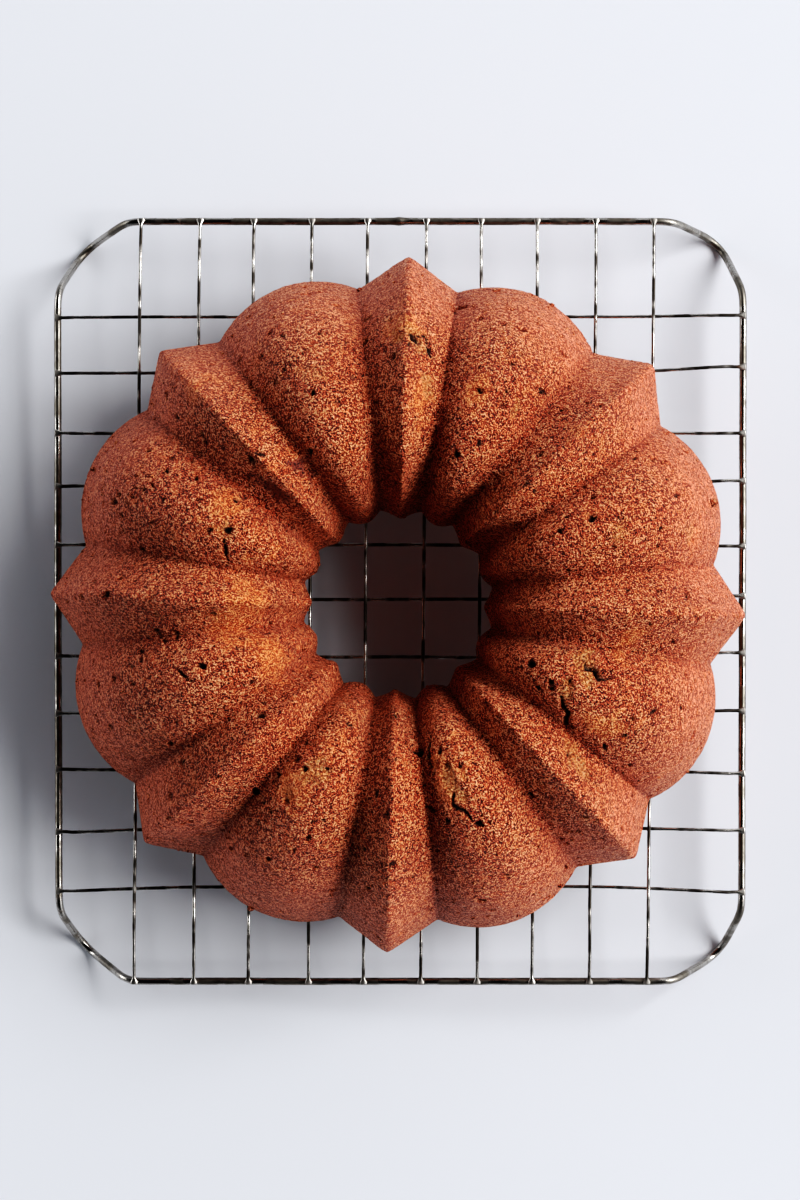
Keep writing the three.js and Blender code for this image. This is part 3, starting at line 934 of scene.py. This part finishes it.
def wire_centreline(node, axis):
    """Points down the middle of a thin CAD wire that runs along one axis."""
    low, high = (np.array(corner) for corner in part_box(node))
    inset = 0.02 * MM
    normal = np.zeros(3)
    normal[axis] = 1
    stations = np.linspace(low[axis] + inset, high[axis] - inset, 90)
    co, edges = node_arrays(node)
    line = []
    for station in stations:
        cut = cut_points(co, edges, normal, station)
        line.append((cut.min(0) + cut.max(0)) / 2)
    line = np.array(line)
    line[0, axis], line[-1, axis] = low[axis], high[axis]
    return line


def resampled(line, step):
    length = np.concatenate([[0], np.cumsum(np.linalg.norm(np.diff(line, axis=0), axis=1))])
    even = np.linspace(0, length[-1], max(int(length[-1] / step), 2))
    return np.stack([np.interp(even, length, line[:, k]) for k in range(3)], 1)


def tube(line, widths, heights, sides, closed):
    """A tube along a line, with its own half width and half height at each point."""
    after = np.roll(line, -1, 0) if closed else np.vstack([line[1:], 2 * line[-1] - line[-2]])
    before = np.roll(line, 1, 0) if closed else np.vstack([2 * line[0] - line[1], line[:-1]])
    forward = after - before
    forward /= np.linalg.norm(forward, axis=1)[:, None]
    side = np.cross((0, 0, 1), forward)
    side /= np.maximum(np.linalg.norm(side, axis=1), 1e-9)[:, None]
    up = np.cross(forward, side)
    angle = np.arange(sides) / sides * 2 * math.pi
    rings = (line[:, None] + side[:, None] * (np.cos(angle)[None, :, None] * widths[:, None, None])
             + up[:, None] * (np.sin(angle)[None, :, None] * heights[:, None, None]))
    count = len(line)
    faces = []
    k = np.arange(sides)
    after_k = (k + 1) % sides
    for i in range(count if closed else count - 1):
        a, b = i * sides, (i + 1) % count * sides
        faces.extend(np.stack([a + k, b + k, b + after_k, a + after_k], 1).tolist())
    points = rings.reshape(-1, 3)
    if not closed:
        faces.append(list(range(sides)))
        faces.append([(count - 1) * sides + j for j in reversed(range(sides))])
    return points, faces


def steel_material(name, tarnish, bare, streak):
    """Drawn steel wire: tarnish, a little rust and streaks along the axes in streak."""
    g = Graph(name)
    scale = [1.0, 1.0, 1.0]
    for axis in streak:
        scale[axis] = 0.12
    lines = g.noise(2600, 3, 0.6, g.stretched(tuple(scale)))
    cloud = g.noise(95, 2, 0.55)
    patch = g.noise(240, 2, 0.5)
    middling = tuple(0.65 * a + 0.35 * b for a, b in zip(tarnish, bare))
    colour = g.ramp(cloud, [(0.44, tarnish), (0.50, middling), (0.57, bare)])
    colour = g.mix(g.span(lines, 0.40, 0.75, 0.0, 0.6), colour, STREAK_COLOUR)
    rust = g.calc("MULTIPLY", g.span(patch, 0.64, 0.76), g.attribute("soiled"))
    colour = g.mix(rust, colour, RUST_COLOUR)
    colour = g.mix(g.attribute("pale"), colour, PALE_END_COLOUR)
    rough = g.span(cloud, 0.42, 0.60, 0.42, 0.20)
    rough = g.calc("ADD", rough, g.span(rust, 0, 1, 0, 0.4))
    rough = g.calc("MULTIPLY_ADD", g.attribute("pale"), 0.2, rough)
    metal = g.calc("MULTIPLY_ADD", rust, -0.8, 1.0)
    height = g.calc("ADD", lines, g.calc("MULTIPLY", patch, 0.8))
    normal = g.bump(height, 0.06 * MM, 0.5)
    return g.finish(Base_Color=colour, Metallic=metal, Roughness=rough, Normal=normal)


def frame_centreline(middle):
    """Points down the middle of the CAD frame's wire, once round from its butt weld."""
    co, edges = node_arrays("frame_wire")
    line = []
    for angle in np.linspace(90.2, 449.8, FRAME_CUTS):
        a = math.radians(angle)
        normal = np.array([-math.sin(a), math.cos(a), 0])
        cut = cut_points(co, edges, normal, normal @ middle)
        cut = cut[(cut - middle) @ (math.cos(a), math.sin(a), 0) > 0]
        line.append((cut.min(0) + cut.max(0)) / 2)
    line = resampled(np.array(line + line[:1]), FRAME_STEP * MM)[:-1]
    for k in range(3):
        line[:, k] = blurred(line[:, k], FRAME_SMOOTHING)
    return line


def make_frame(material):
    """The frame's wire, a little wavy and uneven, with its butt weld and worn feet."""
    low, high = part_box("frame_wire")
    middle = np.array([(low.x + high.x) / 2, (low.y + high.y) / 2, 0])
    line = frame_centreline(middle)
    wave = lattice_noise(line / MM, 30, 31) * FRAME_WAVE * MM
    level = smooth_share(line[:, 2], *FRAME_LEVEL)
    outward = line - middle
    outward[:, 2] = 0
    outward /= np.linalg.norm(outward, axis=1)[:, None]
    line = line + outward * (wave * level)[:, None]
    radius = high.z - FRAME_MIDDLE_Z * MM
    sunk = line[:, 2].min() - radius + FOOT_FLAT_DEPTH * MM
    line[:, 2] -= sunk * (1 - smooth_share(line[:, 2], *FOOT_SPAN))
    from_weld = np.linalg.norm(line - line[0], axis=1)
    swell = BUTT_WELD_SWELL * np.exp(-(from_weld / (BUTT_WELD_REACH * MM)) ** 2)
    widths = radius * (1 + FRAME_UNEVEN * lattice_noise(line / MM, 6, 32) + swell)
    points, faces = tube(line, widths, widths, FRAME_SIDES, True)
    points[:, 2] = np.maximum(points[:, 2], 0)  # the worn flats of the feet
    soiled = np.full(len(points), 0.35)
    thing = mesh_object("frame_wire_steel", points, faces, {
        "soiled": soiled, "pale": np.zeros(len(points))})
    finish_piece(thing, material, "frame_wire")


def make_wire(node, axis, lift, material):
    """One thin wire, wavy as drawn, with an end pressed flat on the frame at each side."""
    line = resampled(wire_centreline(node, axis), THIN_STEP * MM)
    low, high = (np.array(corner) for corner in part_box(node))
    across = 1 - axis
    number = int(node[-2:]) + 40 * axis
    line[:, across] += lattice_noise(line / MM, 22, 100 + number) * WIRE_WAVE * MM
    from_end = np.minimum(line[:, axis] - low[axis], high[axis] - line[:, axis]) / MM
    extra = np.array(END_STATIONS) * MM
    ends = []
    for index, sign in ((0, 1), (-1, -1)):
        inner = np.repeat(line[index][None], len(extra), 0)
        inner[:, axis] += sign * extra
        ends.append(inner)
    body = line[from_end > END_REACH]
    line = np.vstack([line[:1], ends[0], body, ends[1][::-1], line[-1:]])
    from_end = np.minimum(line[:, axis] - low[axis], high[axis] - line[:, axis]) / MM
    fan = 1 - smooth_share(from_end, 0.6, END_LENGTH)
    tip = smooth_share(from_end, -0.5, 0.5)
    drop = END_DROP * (1 - smooth_share(from_end, 2, 9))
    line[:, 2] += (lift * smooth_share(from_end, 4, 12) - drop) * MM
    blunt = END_TIP_SHARE + (1 - END_TIP_SHARE) * tip
    widths = (THIN_WIRE_R + (END_HALF_WIDTH - THIN_WIRE_R) * fan) * blunt * MM
    heights = (THIN_WIRE_R + (END_HALF_DEPTH - THIN_WIRE_R) * fan) * MM
    points, faces = tube(line, widths, heights, THIN_SIDES, False)
    pale = np.repeat(0.6 * fan, THIN_SIDES)
    dirty = 0.25 + 0.75 * smooth_share(lattice_noise(points / MM, 28, 55), 0.0, 0.6)
    thing = mesh_object(node + "_steel", points, faces, {"soiled": dirty, "pale": pale})
    finish_piece(thing, material, node)
    return line


def crossing(cross, long):
    """Where two wires cross in plan, with the mean of their heights there."""
    x = cross[len(cross) // 2, 0]
    y = cross[len(cross) // 2, 1]
    for _ in range(3):
        x = np.interp(y, long[:, 1], long[:, 0])
        y = np.interp(x, cross[:, 0], cross[:, 1])
    z = (np.interp(y, long[:, 1], long[:, 2]) + np.interp(x, cross[:, 0], cross[:, 2])) / 2
    return np.array([x, y, z])


def ball_mesh(rings, sides):
    """Points and faces of a unit ball."""
    points = [(0, 0, -1)]
    for i in range(1, rings):
        tilt = math.pi * i / rings
        for j in range(sides):
            a = 2 * math.pi * j / sides
            wide = math.sin(tilt)
            points.append((wide * math.cos(a), wide * math.sin(a), -math.cos(tilt)))
    points.append((0, 0, 1))
    faces = []
    for j in range(sides):
        faces.append((0, 1 + (j + 1) % sides, 1 + j))
        last = 1 + (rings - 2) * sides
        faces.append((len(points) - 1, last + j, last + (j + 1) % sides))
    for i in range(rings - 2):
        a = 1 + i * sides
        for j in range(sides):
            k = (j + 1) % sides
            faces.append((a + j, a + k, a + sides + k, a + sides + j))
    return np.array(points), faces


def scatter(places, shape, seed_step):
    """Lumpy grains in one piece. places gives each one's middle and half sizes."""
    ball, faces = shape
    points, all_faces = [], []
    for i, (middle, half) in enumerate(places):
        lumps = 1 + 0.22 * lattice_noise(ball + i * seed_step, 0.8, 91)
        start = len(points) * len(ball)
        points.append(middle + ball * lumps[:, None] * half)
        all_faces.extend(tuple(start + k for k in face) for face in faces)
    return np.concatenate(points), all_faces


def make_welds(crosses, longs, material):
    """A small bead wherever a cross wire and a long wire meet."""
    half = np.array(WELD_HALF) * MM
    places = [(crossing(cross, long), half) for cross in crosses for long in longs]
    points, faces = scatter(places, ball_mesh(8, 12), 3.7)
    thing = mesh_object("crossing_welds", points, faces, {
        "soiled": np.full(len(points), 0.5), "pale": np.full(len(points), 0.25)})
    finish_piece(thing, material)


def make_rack():
    frame_steel = steel_material("tarnished_frame_steel", FRAME_TARNISH, FRAME_BARE, (0, 1))
    cross_steel = steel_material("drawn_steel_across", THIN_TARNISH, THIN_BARE, (0,))
    long_steel = steel_material("drawn_steel_along", THIN_TARNISH, THIN_BARE, (1,))
    make_frame(frame_steel)
    nodes = sorted(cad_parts)
    crosses = [make_wire(n, 0, CROSS_LIFT, cross_steel) for n in nodes if n.startswith("cross")]
    longs = [make_wire(n, 1, 0, long_steel) for n in nodes if n.startswith("long")]
    make_welds(crosses, longs, cross_steel)


def make_crumbs(cake):
    """Crumbs that cling to the cake: some known ones, and many tiny ones all over."""
    low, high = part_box("ring_cake")
    middle = np.array([(low.x + high.x) / 2, (low.y + high.y) / 2, low.z])
    co = np.empty(len(cake.data.vertices) * 3)
    cake.data.vertices.foreach_get("co", co)
    skin = co.reshape(-1, 3) - middle
    radius = np.hypot(skin[:, 0], skin[:, 1])
    round_about = np.degrees(np.arctan2(skin[:, 1], skin[:, 0]))
    places = []
    for direction, height, width, side in CRUMBS:
        turn = np.abs((round_about - direction + 180) % 360 - 180)
        wrong_side = np.where(side * (radius / MM - CREST_R) < 0, 99, 0)
        at = skin[np.argmin(turn + np.abs(skin[:, 2] / MM - height) + wrong_side)]
        outward = side * at * (1, 1, 0) / np.hypot(at[0], at[1])
        half = np.array(CRUMB_SHAPE) * width * MM
        places.append((middle + at + outward * 0.25 * width * MM, half))
    draw = np.random.default_rng(8)
    above = np.flatnonzero(skin[:, 2] > TINY_CRUMBS_ABOVE * MM)
    for at in skin[draw.choice(above, TINY_CRUMBS, replace=False)]:
        half = TINY_CRUMB_HALF[0] + TINY_CRUMB_HALF[1] * draw.random() ** 2
        places.append((middle + at, half * draw.uniform(0.8, 1.2, 3) * MM))
    points, faces = scatter(places, ball_mesh(6, 9), 5.3)
    thing = mesh_object("clinging_crumbs", points, faces, {"torn": np.full(len(points), 0.3)})
    finish_piece(thing, cake.data.materials[0])


make_camera()
make_light()
set_contrast()
make_floor()
cake = make_cake()
make_crumbs(cake)
make_rack()
